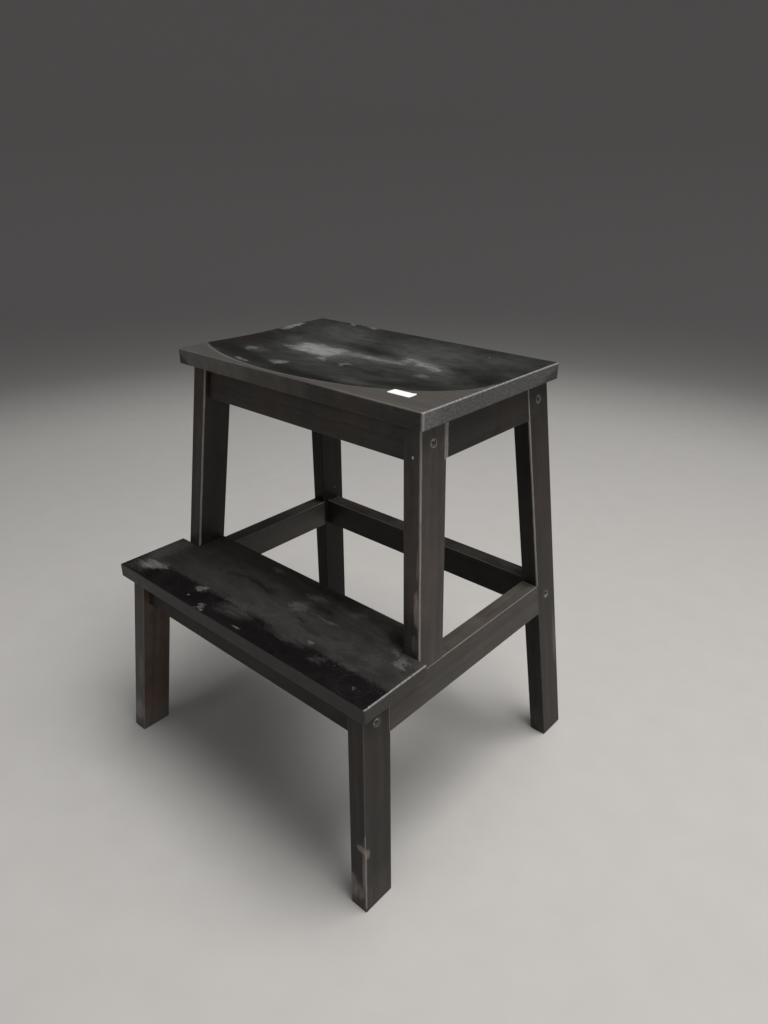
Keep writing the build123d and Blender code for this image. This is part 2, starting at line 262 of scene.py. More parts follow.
def lay_stain(wood, tone, faces):
    """Black-brown, drifting to rust-brown in places and to grey-green in others."""
    fibre, mid, pores = wood.fibre, wood.mid, wood.pores
    wood.colour = wood.mix(wood.figure.fade(over=(0.30, 0.72)),
                           (0.0385, 0.0325, 0.0278), (0.0590, 0.0512, 0.0442))
    wood.tint(wood.hue.fade(over=(0.50, 0.70), to=(0.0, 0.65)), colour=(0.0700, 0.0490, 0.0430))
    wood.tint(wood.hue.fade(over=(0.48, 0.30), to=(0.0, 0.65)), colour=(0.0400, 0.0425, 0.0375))
    variation = (fibre.ramp(over=(0.25, 0.75), to=(0.87, 1.13))
                 * wood.hair.ramp(over=(0.2, 0.8), to=(0.94, 1.06))
                 * mid.ramp(over=(0.25, 0.75), to=(0.76, 1.26))
                 * wood.broad.ramp(over=(0.25, 0.75), to=(0.80, 1.20)))
    # faces paints light and shade: single faces are made lighter or darker by a factor
    for face, face_light_and_shade in faces.items():
        tone = tone * wood.depth[face].fade(over=(2.2, 0.6), to=(1.0, face_light_and_shade))
    wood.colour = wood.colour.scaled(variation * tone)
    wood.tint(pores * 0.6, colour=(0.010, 0.009, 0.008))
    wood.rough = 0.50 + (fibre - 0.5) * 0.22 + (mid - 0.5) * 0.35
    swell = wood.noise(wood.pos, scale=0.06, detail=2.0)
    wood.height = (fibre * 0.075 + wood.hair * 0.02 + pores * -0.10 + wood.fine * 0.025
                   + swell * 0.12)


def weather(wood, seed):
    pos, fine, mid = wood.pos, wood.fine, wood.mid
    # settled dust on upward faces, and grit everywhere
    drift = wood.noise(pos, scale=0.022, detail=5.0, rough=0.65, distort=0.4)
    dust = wood.up.fade(over=(0.6, 0.95)) * drift.fade(over=(0.35, 0.75))
    wood.tint(dust * 0.22, colour=(0.115, 0.108, 0.102))
    wood.roughen(dust * 0.5, to=0.62)
    grit = fine.fade(over=(0.62, 0.76)) * mid.fade(over=(0.40, 0.66))
    wood.tint(grit * 0.34, colour=(0.125, 0.115, 0.104))
    # rubs along the grain, and small knocks
    streaks = wood.noise(wood.grain(pace=0.07), scale=0.30, detail=5.0, rough=0.72)
    zones = wood.noise(pos, scale=0.02, detail=2.0)
    rub = streaks.fade(over=(0.60, 0.72)) * zones.fade(over=(0.50, 0.66))
    wood.tint(rub * 0.30, colour=(0.135, 0.120, 0.107))
    distance, cell = wood.cells(wood.point.shift((seed * 3.3, 5.0, 9.0)), scale=0.04)
    knock = ((distance + (fine - 0.5) * 0.08).fade(over=(0.07, 0.03))
             * cell.parts()[0].fade(over=(0.80, 0.83)))
    wood.tint(knock * 0.6, colour=(0.22, 0.20, 0.18))
    wood.height += knock * -0.28


def rub_arrises(wood, arrises):
    """Every arris is a little lighter; those listed are rubbed through the stain and carry a
    painted highlight.
    """
    ragged_at = wood.vector(wood.across[0] * 0.5, wood.across[1] * 0.5, wood.along * 0.16)
    wood.ragged = ragged = wood.noise(ragged_at, scale=0.55, detail=5.0, rough=0.72)
    light = wood.arris.fade(over=(2.4, 0.2)) * ragged.fade(over=(0.42, 0.68)) * 0.20
    wood.tint(light, colour=(0.16, 0.145, 0.13))
    chip = ((wood.arris + (ragged - 0.5) * 6.0).fade(over=(0.3, -0.5))
            * wood.broad.fade(over=(0.50, 0.62)))
    wood.tint(chip * 0.55, colour=(0.26, 0.235, 0.21))
    # the listed arrises: rubbed through the stain and painted as highlights
    bare_and_lit = None
    for face, other, width, strength, *span in arrises:
        raggedness = 0.7 if width < 1.25 or width > 2.9 else 1.2
        edge = (highest(wood.depth[face], wood.depth[other])
                + (ragged - 0.5) * (width * raggedness) + (wood.broad - 0.5) * (width * 0.7))
        mask = edge.fade(over=(width * 1.25, width * 0.45)) * strength
        if span:
            z0, z1 = span
            mask = (mask * wood.z.fade(over=(z0 - 2.0, z0 + 2.0))
                    * wood.z.fade(over=(z1 + 2.0, z1 - 2.0)))
        bare_and_lit = mask if bare_and_lit is None else highest(bare_and_lit, mask)
    if bare_and_lit is not None:
        bare_lit_colour = wood.mix(wood.fibre.fade(over=(0.3, 0.7)),
                       (0.215, 0.195, 0.178), (0.36, 0.335, 0.31))
        wood.tint(bare_and_lit * 0.92, bare_lit_colour)
        wood.roughen(bare_and_lit, to=0.56)
        wood.height += bare_and_lit * -0.06


def saw_ends(wood, seed):
    end = wood.near_end.fade(over=(1.4, 0.3))
    rings_at = wood.vector(wood.across[0] * 0.28, wood.across[1] * 1.15, seed * 2.0)
    rings = wood.noise(rings_at, scale=0.9, rough=0.6, distort=0.8)
    wood.tint(end * rings.fade(over=(0.3, 0.7), to=(0.05, 0.35)), colour=(0.10, 0.092, 0.084))
    wood.roughen(end * 0.6, to=0.70)
    wood.height += end * (rings * 0.10)


def mark_hole(wood, y, z):
    """Bare rim, worn surround and painted shade inside a counterbore along X."""
    distance = hypot(wood.plane(0, 1, 0, -y), wood.plane(0, 0, 1, -z))
    rim = (abs(distance - HOLE_R).fade(over=(0.25 + wood.fine * 0.9, 0.05))
           * wood.depth[0].fade(over=(2.5, 0.4)) * wood.ragged.fade(over=(0.28, 0.46)))
    wood.tint(rim * 0.80, colour=(0.36, 0.335, 0.31))
    halo = distance.fade(over=(HOLE_R + 5.0, HOLE_R)) * wood.fine.fade(over=(0.40, 0.70))
    wood.tint(halo * 0.25, colour=(0.12, 0.108, 0.098))
    # painted shade in the counterbore
    shaded_inside = distance.fade(over=(HOLE_R - 0.1, HOLE_R - 0.6))
    wood.tint(shaded_inside * 0.6, colour=(0.012, 0.010, 0.009))


def stain_piece(node, planes, tone=1.0, specular=0.40, faces=None, arrises=(), holes=(),
                special=None):
    """Gives a piece its own near-black stained material.

    planes: six (nx, ny, nz, offset), each the depth in mm behind one face; the last pair are
    the ends, and the grain runs between them.
    faces: painted light and shade on single faces, a brightness factor by their place in planes.
    arrises: (face, other face, half width, strength[, z from, z to]) of the edges rubbed through
    the stain, which also carry a painted highlight.
    holes: (y, z) of the counterbores. special: a function that adds marks of the piece's own.
    """
    seed = next(seeds)
    wood = Tree("wood_" + node)
    wood.coat, wood.specular = 0.06, specular
    lay_grain(wood, planes, seed)
    lay_stain(wood, tone, faces or {})
    weather(wood, seed)
    rub_arrises(wood, arrises)
    saw_ends(wood, seed)
    for y, z in holes:
        mark_hole(wood, y, z)
    if special:
        special(wood)
    lacquer = {"IOR": 1.45, "Specular IOR Level": wood.specular, "Coat Weight": wood.coat,
               "Coat Roughness": 0.34, "Coat IOR": 1.42}
    give(node, wood.shade(wood.colour, highest(wood.rough, 0.14), wood.height, lacquer))


# ---------------------------------------------------------------- side frames
OUTER, INNER, FRONT, BACK = range(4)         # faces of a leg; bottom and top follow
RAIL_TOP, RAIL_FRONT = 2, 4                  # faces of a side rail, after outer and inner


def side_planes(sign):
    """Outer and inner face of a side frame; sign is +1 on the right, -1 on the left."""
    return [(-sign, 0, -LEAN, X_OUT), (sign, 0, LEAN, LEG_T - X_OUT)]


# leg: front face at the floor, slope, bottom, top, bolts through it
LEGS = {
    "rear_leg": (Y_REAR, LEAN, 0.0, TOP_Z0, ("rear_top_apron_bolts", "rear_stretcher_bolts")),
    "upper_front_leg": (Y_UP, -LEAN, LOW_Z0, TOP_Z0, ("front_top_apron_bolts",)),
    "lower_front_leg": (Y_LOW, -LEAN, 0.0, LOW_Z0, ("front_lower_apron_bolts",)),
}

# Patches are (face, face measured from, distance from it, z, half width, half height,
# strength); strength None makes a speck of white paint.
# faces on the legs paints light and shade: above 1 a painted light on faces turned to the lamps,
# below 1 a painted shade on faces inside the stool
LEG_LOOKS = {
    ("upper_front_leg", "right"): dict(
        faces={FRONT: 1.24},
        arrises=[(OUTER, FRONT, 1.9, 0.90), (OUTER, BACK, 3.6, 1.0, TOP_Z0 - 40, TOP_Z0)],
        patches=[(FRONT, OUTER, 4.2, 300.0, 3.0, 17.0, 1.0),
                 (FRONT, OUTER, 3.0, 345.0, 1.6, 14.0, 0.4),
                 (FRONT, OUTER, 9.5, 451.2, 0.95, 1.4, None),
                 (FRONT, OUTER, 6.0, 262.0, 4.0, 9.0, 0.35)]),
    # tone below 1 on the rear legs and the right lower leg is partly the wood's tone and partly
    # painted shade under the treads
    ("rear_leg", "right"): dict(
        tone=0.66, specular=0.26, foot=0.20, faces={FRONT: 0.60},
        arrises=[(OUTER, FRONT, 1.8, 0.90, LOW_Z0, TOP_Z0),
                 (OUTER, FRONT, 1.0, 0.35, LOW_Z0 - 40, LOW_Z0)],
        patches=[(OUTER, BACK, 5.0, 140.0, 3.0, 36.0, 0.25)]),
    ("lower_front_leg", "right"): dict(
        tone=0.57, specular=0.24, foot=0.30,
        arrises=[(OUTER, FRONT, 0.7, 0.30), (OUTER, FRONT, 1.7, 0.85, 5, 78),
                 (OUTER, FRONT, 1.0, 0.7, 78, 95),
                 (OUTER, BACK, 2.4, 0.45, LOW_Z0 - 40, LOW_Z0)],
        patches=[(FRONT, OUTER, 5.0, 76.0, 6.0, 4.0, 0.65),
                 (OUTER, FRONT, 3.0, 71.0, 3.0, 6.0, 0.45),
                 (FRONT, OUTER, 3.0, 50.0, 1.6, 30.0, 0.55),
                 (FRONT, INNER, 4.0, 24.0, 5.0, 14.0, 0.5),
                 (FRONT, OUTER, 9.0, 22.0, 5.0, 10.0, 0.4)]),
    ("upper_front_leg", "left"): dict(
        specular=0.32, faces={INNER: 0.42},
        arrises=[(INNER, FRONT, 1.9, 0.95), (INNER, FRONT, 2.4, 0.9, LOW_Z1, LOW_Z1 + 9)]),
    ("rear_leg", "left"): dict(
        tone=0.30, specular=0.12, foot=0.25, red=0.35, faces={INNER: 0.9, FRONT: 0.60}),
    ("lower_front_leg", "left"): dict(
        foot=0.55, red=0.6, faces={INNER: 1.35, FRONT: 1.02},
        arrises=[(INNER, FRONT, 0.8, 0.3)],
        patches=[(FRONT, OUTER, 10.0, 30.0, 12.0, 16.0, 0.5),
                 (FRONT, OUTER, 14.0, 96.0, 5.0, 22.0, 0.2)]),
}


def ragged_patch(a, b, centre, half, ragged, softness):
    """A ragged oval in the plane of a and b; ragged is a noise about 0.5."""
    reach = hypot((a - centre[0]) * (1.0 / half[0]), (b - centre[1]) * (1.0 / half[1]))
    return (reach + (ragged - 0.5) * 1.6).fade(over=(1.0 + softness, 1.0 - softness))


def leg_marks(patches, foot, red):
    """red: drift of the inner face to red-brown. foot: strength of the scuffing low down."""
    def add_marks(wood):
        depth, fibre, z = wood.depth, wood.fibre, wood.z
        if red:
            reddened = wood.colour.stretch((1.22, 0.86, 0.74))
            wood.tint(depth[INNER].fade(over=(2.2, 0.6)) * red, reddened)
        if foot:
            low = (z + (wood.mid - 0.5) * 60.0).fade(over=(50.0, 14.0))
            wood.tint(low * fibre.fade(over=(0.35, 0.65), to=(0.4, 1.0)) * foot,
                      colour=(0.150, 0.135, 0.120))
            wood.roughen(low * 0.6, to=0.7)
        for face, other, inset, patch_z, half_width, half_height, strength in patches:
            centre, half = (inset, patch_z), (half_width, half_height)
            on_face = depth[face].fade(over=(1.6, 0.4))
            if strength is None:
                mask = ragged_patch(depth[other], z, centre, half, wood.fine, softness=0.3)
                wood.tint(mask * on_face, colour=(0.78, 0.77, 0.75))
                continue
            mask = ragged_patch(depth[other], z, centre, half, wood.ragged, softness=0.4)
            mask = mask * on_face * fibre.fade(over=(0.36, 0.58), to=(0.45, 1.0))
            wood.tint(mask * strength, colour=(0.33, 0.285, 0.265))
    return add_marks


def bolt_axis(node):
    """Y and Z of a pair of bolts' common axis."""
    low, high = box_mm(node)
    return (low[1] + high[1]) / 2, (low[2] + high[2]) / 2


def make_leg(leg, side, sign, foot=0.0, red=0.0, patches=(), **look):
    y0, slope, z0, z1, bolts = LEGS[leg]
    planes = side_planes(sign) + [(0, 1, slope, -y0), (0, -1, -slope, y0 + LEG_W),
                                  (0, 0, 1, -z0), (0, 0, -1, z1)]
    stain_piece(f"{leg}_{side}", planes, holes=[bolt_axis(bolt) for bolt in bolts],
                special=leg_marks(patches, foot, red), **look)


def make_rail(rail, side, sign, y0, z1, **look):
    """A rail from the front leg whose front face is y0 to the rear leg; z1 is its top."""
    z0 = box_mm(rail + "_right")[0][2]
    planes = side_planes(sign) + [(0, 0, -1, z1), (0, 0, 1, -z0),
                                  (0, 1, -LEAN, -(y0 + LEG_W)), (0, -1, -LEAN, Y_REAR)]
    stain_piece(f"{rail}_{side}", planes, **look)


for side, sign in (("right", 1), ("left", -1)):
    for leg in LEGS:
        make_leg(leg, side, sign, **LEG_LOOKS[leg, side])
    # faces lightens the rail's outer and top faces as painted light
    make_rail("lower_side_rail", side, sign, Y_LOW, LOW_Z0, tone=0.95,
              faces={OUTER: 1.1, RAIL_TOP: 1.15},
              arrises=[(OUTER, RAIL_TOP, 0.9, 0.5), (INNER, RAIL_TOP, 0.8, 0.3)])
    # tone 0.43 darkens the aprons under the top step: painted shade
    make_rail("upper_side_apron", side, sign, Y_UP, TOP_Z0, tone=0.43,
              arrises=[(OUTER, RAIL_FRONT, 2.4, 0.95)] if side == "right" else ())

# ---------------------------------------------------------------- cross members
# name: front face at the floor, slope, tone (low on the rear stretcher and front lower apron as
# painted shade under the treads), specular, arrises rubbed through the stain, some with a painted
# highlight (face 0 front, 2 top)
CROSS_MEMBERS = {
    "front_top_apron": (Y_UP + RECESS, -LEAN, 1.0, 0.40, ()),
    "rear_top_apron": (Y_REAR + LEG_W - RECESS - CROSS_T, LEAN, 1.0, 0.40, ()),
    "rear_stretcher": (Y_REAR + RECESS, LEAN, 0.40, 0.17, [(0, 2, 0.8, 0.3)]),
    "front_lower_apron": (Y_LOW + RECESS, -LEAN, 0.42, 0.17, ()),
}
for name, (y0, slope, tone, specular, arrises) in CROSS_MEMBERS.items():
    low, high = box_mm(name)
    half_span = X_OUT - LEG_T
    planes = [(0, 1, slope, -y0), (0, -1, -slope, y0 + CROSS_T), (0, 0, -1, high[2]),
              (0, 0, 1, -low[2]), (1, 0, -LEAN, half_span), (-1, 0, -LEAN, half_span)]
    stain_piece(name, planes, tone, specular, arrises=arrises)


# ---------------------------------------------------------------- treads
class TreadPlan:
    """Marks on a tread, placed in plan (mm) with ragged, brushed-out edges."""

    def __init__(self, wood, z):
        self.wood, self.z = wood, z
        self.x, self.y = x, y = wood.plane(1, 0, 0), wood.plane(0, 1, 0)
        wander = wood.noise(wood.point.stretch((0.05, 0.09, 0.05)), scale=1.0, detail=6.0,
                            rough=0.75, output="Color")
        centred = wander.vector_math("SUBTRACT", {1: (0.5, 0.5, 0.5)})
        self.wandered = wood.point.shift(centred.stretch((46.0, 26.0, 0.0)))
        self.brush = wood.noise(wood.vector(x * 0.035, y * 0.30, 7.0), scale=1.0, detail=6.0,
                                rough=0.72, distort=0.6)
        self.grit = wood.noise(wood.vector(x * 0.45, y * 0.55, 2.0), scale=1.0, detail=4.0,
                               rough=0.75)
        self.cloud = wood.noise(wood.vector(x * 0.014, y * 0.034, 5.0), scale=1.0, detail=6.0,
                                rough=0.68, distort=0.9)

    def reach(self, x, y, half_x, half_y, angle):
        """1 on the outline of an oval, or of a squarish oblong when angle is None."""
        if angle is None:
            at_x, at_y, _ = self.wandered.parts()
            along, across = (at_x - x) * (1.0 / half_x), (at_y - y) * (1.0 / half_y)
            return (abs(along) ** 4.0 + abs(across) ** 4.0) ** 0.25
        frame_of_mark = {"Vector": self.wandered, "Location": (x, y, self.z),
                         "Rotation": (0.0, 0.0, math.radians(angle)),
                         "Scale": (half_x, half_y, 1e4)}
        local = self.wood.node("Mapping", frame_of_mark, vector_type="TEXTURE")[0]
        return local.vector_math("LENGTH", {}, "Value")

    def paint(self, marks, colour, gate, texture=True):
        """marks: (x, y, half x, half y, angle, softness, strength)."""
        total = None
        for *place, softness, strength in marks:
            over = (1.0 + softness, max(0.0, 1.0 - softness))
            mask = self.reach(*place).fade(over) * strength
            total = mask if total is None else highest(total, mask)
        if texture:
            total = (total * self.brush.fade(over=(0.30, 0.62), to=(0.30, 1.1))
                     * self.grit.fade(over=(0.25, 0.60), to=(0.6, 1.1)))
        total = lowest(total * gate, 1.0)
        self.wood.tint(total, colour)
        return total

    def specks(self, offset, scale, chosen, colour, gate):
        """Pale dots in the few cells whose random value passes chosen."""
        distance, cell = self.wood.cells(self.wood.point.shift(offset), scale)
        dots = distance.fade(over=(0.05, 0.03)) * cell.parts()[1].fade(over=chosen) * gate
        self.wood.tint(dots * 0.7, colour)

    def bare_and_lit_end(self, pitch, jag, tick, over, least, colours):
        """Rubs the right-hand end's upper arris through the stain and paints a highlight on it;
        jag and tick are depths of its edge.
        """
        wood, y = self.wood, self.y
        jags = wood.noise(wood.vector(1.0, y * pitch, 4.0), scale=1.0, detail=5.0, rough=0.8)
        ticks = wood.noise(wood.vector(3.0, y * 0.9, 4.0), scale=1.0, rough=0.8)
        edge = highest(wood.depth[5], wood.depth[0] * 1.15)
        bare_and_lit = ((edge + (jags - 0.5) * jag + (ticks - 0.5) * tick).fade(over)
                * ticks.fade(over=(0.34, 0.52), to=(least, 1.0)))
        wood.tint(bare_and_lit * 0.88, wood.mix(self.grit.fade(over=(0.3, 0.7)), *colours))
        return bare_and_lit


def upright_face(wood, depth, over):
    """Mask of a tread's end or edge that leaves out its upper face."""
    return depth.fade(over) * (1.0 - wood.up.fade(over=(0.75, 0.95)))


# Marks in plan: x, y, half x, half y, angle (None for an oblong), softness, strength
TOP_LIGHT_FIELDS = [
    (-92, 105, 52, 30, -12, 0.9, 0.55), (-120, 60, 30, 16, 10, 0.9, 0.35),
    (50, 104, 62, 26, 0, 0.9, 0.60), (72, 74, 40, 18, 20, 0.8, 0.50),
    (0, 20, 60, 18, 0, 0.9, 0.32), (104, 28, 40, 16, 0, 0.9, 0.34),
    (-20, -22, 60, 18, 0, 0.9, 0.22), (90, -18, 26, 12, 0, 0.9, 0.20),
    (130, 110, 30, 22, 0, 0.9, 0.34), (60, -44, 22, 12, 0, 0.8, 0.35),
    (38, 86, 42, 24, 0, 0.8, 0.62)]
TOP_DARK_POOLS = [
    (-148, -32, 46, 16, -18, 0.7, 0.75), (20, -62, 62, 9, 0, 0.7, 0.75),
    (112, -20, 34, 10, 22, 0.6, 0.70), (166, 42, 15, 24, 20, 0.7, 0.70),
    (-8, 70, 44, 11, -4, 0.7, 0.60), (-164, 38, 20, 26, 0, 0.8, 0.50),
    (-90, -48, 40, 9, -8, 0.7, 0.45)]
TOP_RED_POOLS = [(-168, 4, 26, 40, 0, 0.8, 0.60), (-120, -42, 40, 12, -12, 0.7, 0.45)]
TOP_SMEAR = [
    (-60, 34, 52, 26, 0, 0.8, 0.60), (20, 46, 60, 12, 2, 0.9, 0.50),
    (74, 56, 38, 13, -20, 0.9, 0.62), (-40, 2, 20, 12, 0, 0.9, 0.30),
    (-120, -14, 16, 10, 0, 0.9, 0.35)]
TOP_SMUDGES = [
    (-66, 34, 33, 17, None, 0.42, 1.05), (-40, 39, 8, 7, 0, 0.6, 1.0),
    (-90, 24, 18, 6, 0, 0.6, 0.75), (2, 45, 44, 5, 2, 0.8, 0.42), (46, 62, 7, 6, 0, 0.7, 0.75),
    (72, 57, 24, 5, -20, 0.8, 0.62), (94, 50, 9, 4, -30, 0.6, 0.70),
    (70, 58, 22, 1.8, -18, 0.5, 1.2), (92, 51, 11, 1.4, -28, 0.5, 1.2),
    (-8, 44, 20, 1.5, 0, 0.5, 0.7), (40, 46, 14, 5, 0, 0.7, 0.45),
    (-32, 7, 7, 5, -30, 0.5, 0.62), (3, 3, 7, 5, -40, 0.6, 0.42),
    (-52, -40, 8, 8, -40, 0.5, 0.60), (-127, -16, 7, 5, 0, 0.6, 0.55),
    (-89, -62, 9, 3, -15, 0.5, 0.55), (100, 20, 8, 5, 0, 0.7, 0.30),
    (-40, 20, 10, 3, -40, 0.6, 0.5)]
# pale marks on the top's left and back edges: scuffs, and painted highlights on the edges
TOP_EDGE_HIGHLIGHTS_AND_SCUFFS = [
    (-178, 94, 6, 17, 0, 0.5, 0.9), (-124, 152, 10, 3, -30, 0.6, 0.6),
    (-86, 150, 9, 3, -20, 0.6, 0.7), (-186, 160, 10, 5, 0, 0.6, 0.5)]
HOLLOW_X, HOLLOW_HALF_X, HOLLOW_HALF_Y = -30.0, 207.0, 111.5    # dark oval on the top step


def mark_top_hollow(wood, plan, hollow, flat):
    """Colours of the dark polished oval and of the matt flat corners at its front."""
    mid, brush, cloud, grit = wood.mid, plan.brush, plan.cloud, plan.grit
    grain = wood.fibre.fade(over=(0.32, 0.70))
    matt = wood.mix(grain, (0.0432, 0.0388, 0.0352), (0.0665, 0.0622, 0.0572))
    matt = matt.scaled(cloud.ramp(over=(0.3, 0.7), to=(0.86, 1.16))
                       * grit.ramp(over=(0.25, 0.75), to=(0.86, 1.14)))
    right = wood.mix(grain, (0.0400, 0.0352, 0.0315), (0.0630, 0.0570, 0.0515))
    matt = wood.mix(plan.x.fade(over=(60.0, 182.0), to=(0.0, 0.45)), matt, right)
    wood.tint(flat * 0.93, matt)
    wood.roughen(flat, to=0.58)
    dark = wood.mix(mid.fade(over=(0.3, 0.7)), (0.0060, 0.0062, 0.0060), (0.0160, 0.0172, 0.0166))
    dark = wood.mix(grain * 0.40, dark, (0.0250, 0.0256, 0.0246))
    dark = dark.scaled(cloud.ramp(over=(0.32, 0.68), to=(0.60, 1.55))
                       * brush.ramp(over=(0.3, 0.7), to=(0.82, 1.18)))
    wood.tint(hollow * 0.94, dark)
    plan.paint(TOP_LIGHT_FIELDS, (0.070, 0.0755, 0.0725), hollow)
    plan.paint(TOP_DARK_POOLS, (0.0032, 0.0028, 0.0028), hollow, texture=False)
    plan.paint(TOP_RED_POOLS, (0.0110, 0.0070, 0.0068), hollow, texture=False)
    plan.paint(TOP_SMEAR, (0.105, 0.106, 0.107), hollow)
    smudges = plan.paint(TOP_SMUDGES, (0.205, 0.206, 0.208), hollow)
    wood.roughen(smudges * 0.5, to=0.5)


def mark_top_end(wood, plan, front_edge):
    """Right-hand end: sawn, speckled grey, its upper arris rubbed through the stain and given a
    painted highlight.
    """
    front, right = wood.depth[2], wood.depth[5]
    y, height = plan.y, wood.plane(0, 0, 1)
    end = upright_face(wood, right, over=(3.0, 0.8))
    speckle = wood.noise(wood.vector(0.0, y * 0.26, height * 0.55), scale=1.0, detail=6.0,
                         rough=0.85)
    wood.tint(end * 0.93, wood.mix(speckle.fade(over=(0.32, 0.70)),
                                   (0.040, 0.0385, 0.0375), (0.135, 0.134, 0.132)))
    streak = wood.noise(wood.vector(2.0, y * 0.07, height * 0.9), scale=1.0, detail=4.0,
                        rough=0.75)
    wood.tint(end * streak.fade(over=(0.50, 0.66)) * 0.45, colour=(0.21, 0.208, 0.204))
    # painted shade at its lower back corner
    shaded_corner = ((TOP_Y1 - y) * (1.0 / 44.0) + wood.plane(0, 0, 1, -TOP_Z0) * (1.0 / 16.0)
              + (speckle - 0.5) * 0.6)
    wood.tint(end * shaded_corner.fade(over=(1.15, 0.65)) * 0.85, colour=(0.040, 0.037, 0.037))
    wood.roughen(highest(end, front_edge) * 0.6, to=0.66)
    bare_and_lit = plan.bare_and_lit_end(pitch=0.35, jag=5.5, tick=4.0, over=(1.7, 0.7), least=0.25,
                         colours=((0.19, 0.188, 0.185), (0.36, 0.355, 0.35)))
    # rougher and lighter towards the front corner
    scuffed = (end * y.fade(over=(TOP_Y0 + 42.0, TOP_Y0 + 6.0))
               * speckle.fade(over=(0.40, 0.62), to=(0.15, 1.0)))
    wood.tint(scuffed * 0.6, colour=(0.20, 0.197, 0.192))
    corner_arris = highest(right, front) + (speckle - 0.5) * 4.0
    wood.tint(corner_arris.fade(over=(3.0, 1.4)) * 0.92, colour=(0.27, 0.265, 0.258))
    wood.height = wood.height + end * speckle * 0.28 + bare_and_lit * -0.12


def top_marks(wood):
    plan = TreadPlan(wood, TOP_Z1)
    x, y, grit, cloud = plan.x, plan.y, plan.grit, plan.cloud
    top, front = wood.depth[0], wood.depth[2]
    up = wood.up.fade(over=(0.6, 0.95))
    # the wear fills an oval, and at the back runs on over its rim
    oval = (((x - HOLLOW_X) * (1 / HOLLOW_HALF_X)) ** 2.0
            + ((y - TOP_CY) * (1 / HOLLOW_HALF_Y)) ** 2.0)
    at_back = (y + (cloud - 0.5) * 30.0).fade(over=(TOP_CY - 14.0, TOP_CY + 8.0))
    rim = oval + (grit - 0.5) * 0.030
    hollow = highest(rim.fade(over=(1.018, 0.990)), at_back) * up
    flat = (1.0 - hollow) * up
    mark_top_hollow(wood, plan, hollow, flat)
    # painted highlights and scuffs along the edges
    plan.paint(TOP_EDGE_HIGHLIGHTS_AND_SCUFFS, (0.19, 0.185, 0.18), up)
    # long fine scratches
    scratch = wood.noise(wood.vector(x * 0.006, y * 0.55, wood.broad * 3.0), scale=1.0,
                         detail=4.0, rough=0.75)
    scratch = scratch.fade(over=(0.64, 0.70)) * hollow * wood.mid.fade(over=(0.42, 0.60))
    wood.tint(scratch * 0.35, colour=(0.17, 0.17, 0.165))
    plan.specks((4.0, 9.0, 2.0), scale=0.045, chosen=(0.84, 0.86), colour=(0.42, 0.42, 0.41),
                gate=up)
    # a painted highlight along the rim of the hollow at the front
    rim_highlight = (abs(oval - 1.012).fade(over=(0.040, 0.0)) * wood.up.fade(over=(0.5, 0.8))
                * y.fade(over=(TOP_Y0 + 52.0, TOP_Y0 + 14.0)) * x.fade(over=(95.0, 40.0)))
    wood.tint(rim_highlight * grit.fade(over=(0.30, 0.60))
              * x.fade(over=(-60.0, -125.0), to=(0.50, 0.85)), colour=(0.15, 0.143, 0.135))
    # the front edge fades from a dusty, rubbed left to a darker right
    front_edge = upright_face(wood, front, over=(3.4, 1.4))
    leftward = (x + (cloud - 0.5) * 160.0).fade(over=(60.0, -150.0))
    wood.tint(front_edge * leftward * wood.mid.fade(over=(0.3, 0.6), to=(0.6, 1.0)) * 0.92,
              colour=(0.150, 0.140, 0.132))
    # painted shade at the lower left corner of the front edge
    shaded_corner = ((x - -TOP_X) * (1.0 / 22.0) + wood.plane(0, 0, 1, -TOP_Z0) * (1.0 / 15.0)
              + (grit - 0.5) * 0.5)
    shaded_low_left = front.fade(over=(3.4, 1.4)) * shaded_corner.fade(over=(1.05, 0.75))
    wood.tint(shaded_low_left * 0.75, colour=(0.034, 0.032, 0.032))
    # a bright upper front arris on the right half
    arris = ((highest(front, top) + (wood.ragged - 0.5) * 2.0).fade(over=(2.4, 0.9))
             * x.fade(over=(20.0, 120.0)))
    wood.tint(arris * 0.40, colour=(0.19, 0.178, 0.168))
    mark_top_end(wood, plan, front_edge)
    wood.roughen(hollow * 0.75, to=0.38 + wood.mid * 0.16)
    wood.coat = 0.0
    wood.specular = wood.mix_value(hollow, 0.36, 0.16)


LOW_LIGHT_FIELDS = [
    (-190, -120, 12, 46, 0, 0.7, 0.5), (-184, -165, 16, 12, 0, 0.7, 0.45),
    (30, -118, 70, 20, 0, 0.9, 0.40), (90, -128, 40, 10, 0, 0.8, 0.40),
    (-60, -128, 60, 12, 0, 0.9, 0.30), (110, -82, 40, 14, 0, 0.8, 0.30),
    (-15, -156, 22, 10, 10, 0.7, 0.55), (62, -152, 26, 6, 0, 0.7, 0.5),
    (116, -158, 7, 6, 0, 0.7, 0.40)]
LOW_DARK_POOLS_AND_LEG_SHADOW = [
    (-38, -101, 26, 4.5, -3, 0.6, 0.80), (56, -90, 16, 5, -8, 0.6, 0.55),
    (54, -119, 15, 4, -6, 0.6, 0.50), (76, -127, 18, 3.5, -6, 0.6, 0.45),
    # (156, -78) is a painted shadow next to the right-hand leg
    (156, -78, 20, 9, -35, 0.7, 0.70), (-70, -70, 40, 10, 0, 0.9, 0.45),
    (182, -125, 14, 30, 0, 0.8, 0.45), (30, -62, 50, 4, 0, 0.7, 0.4)]
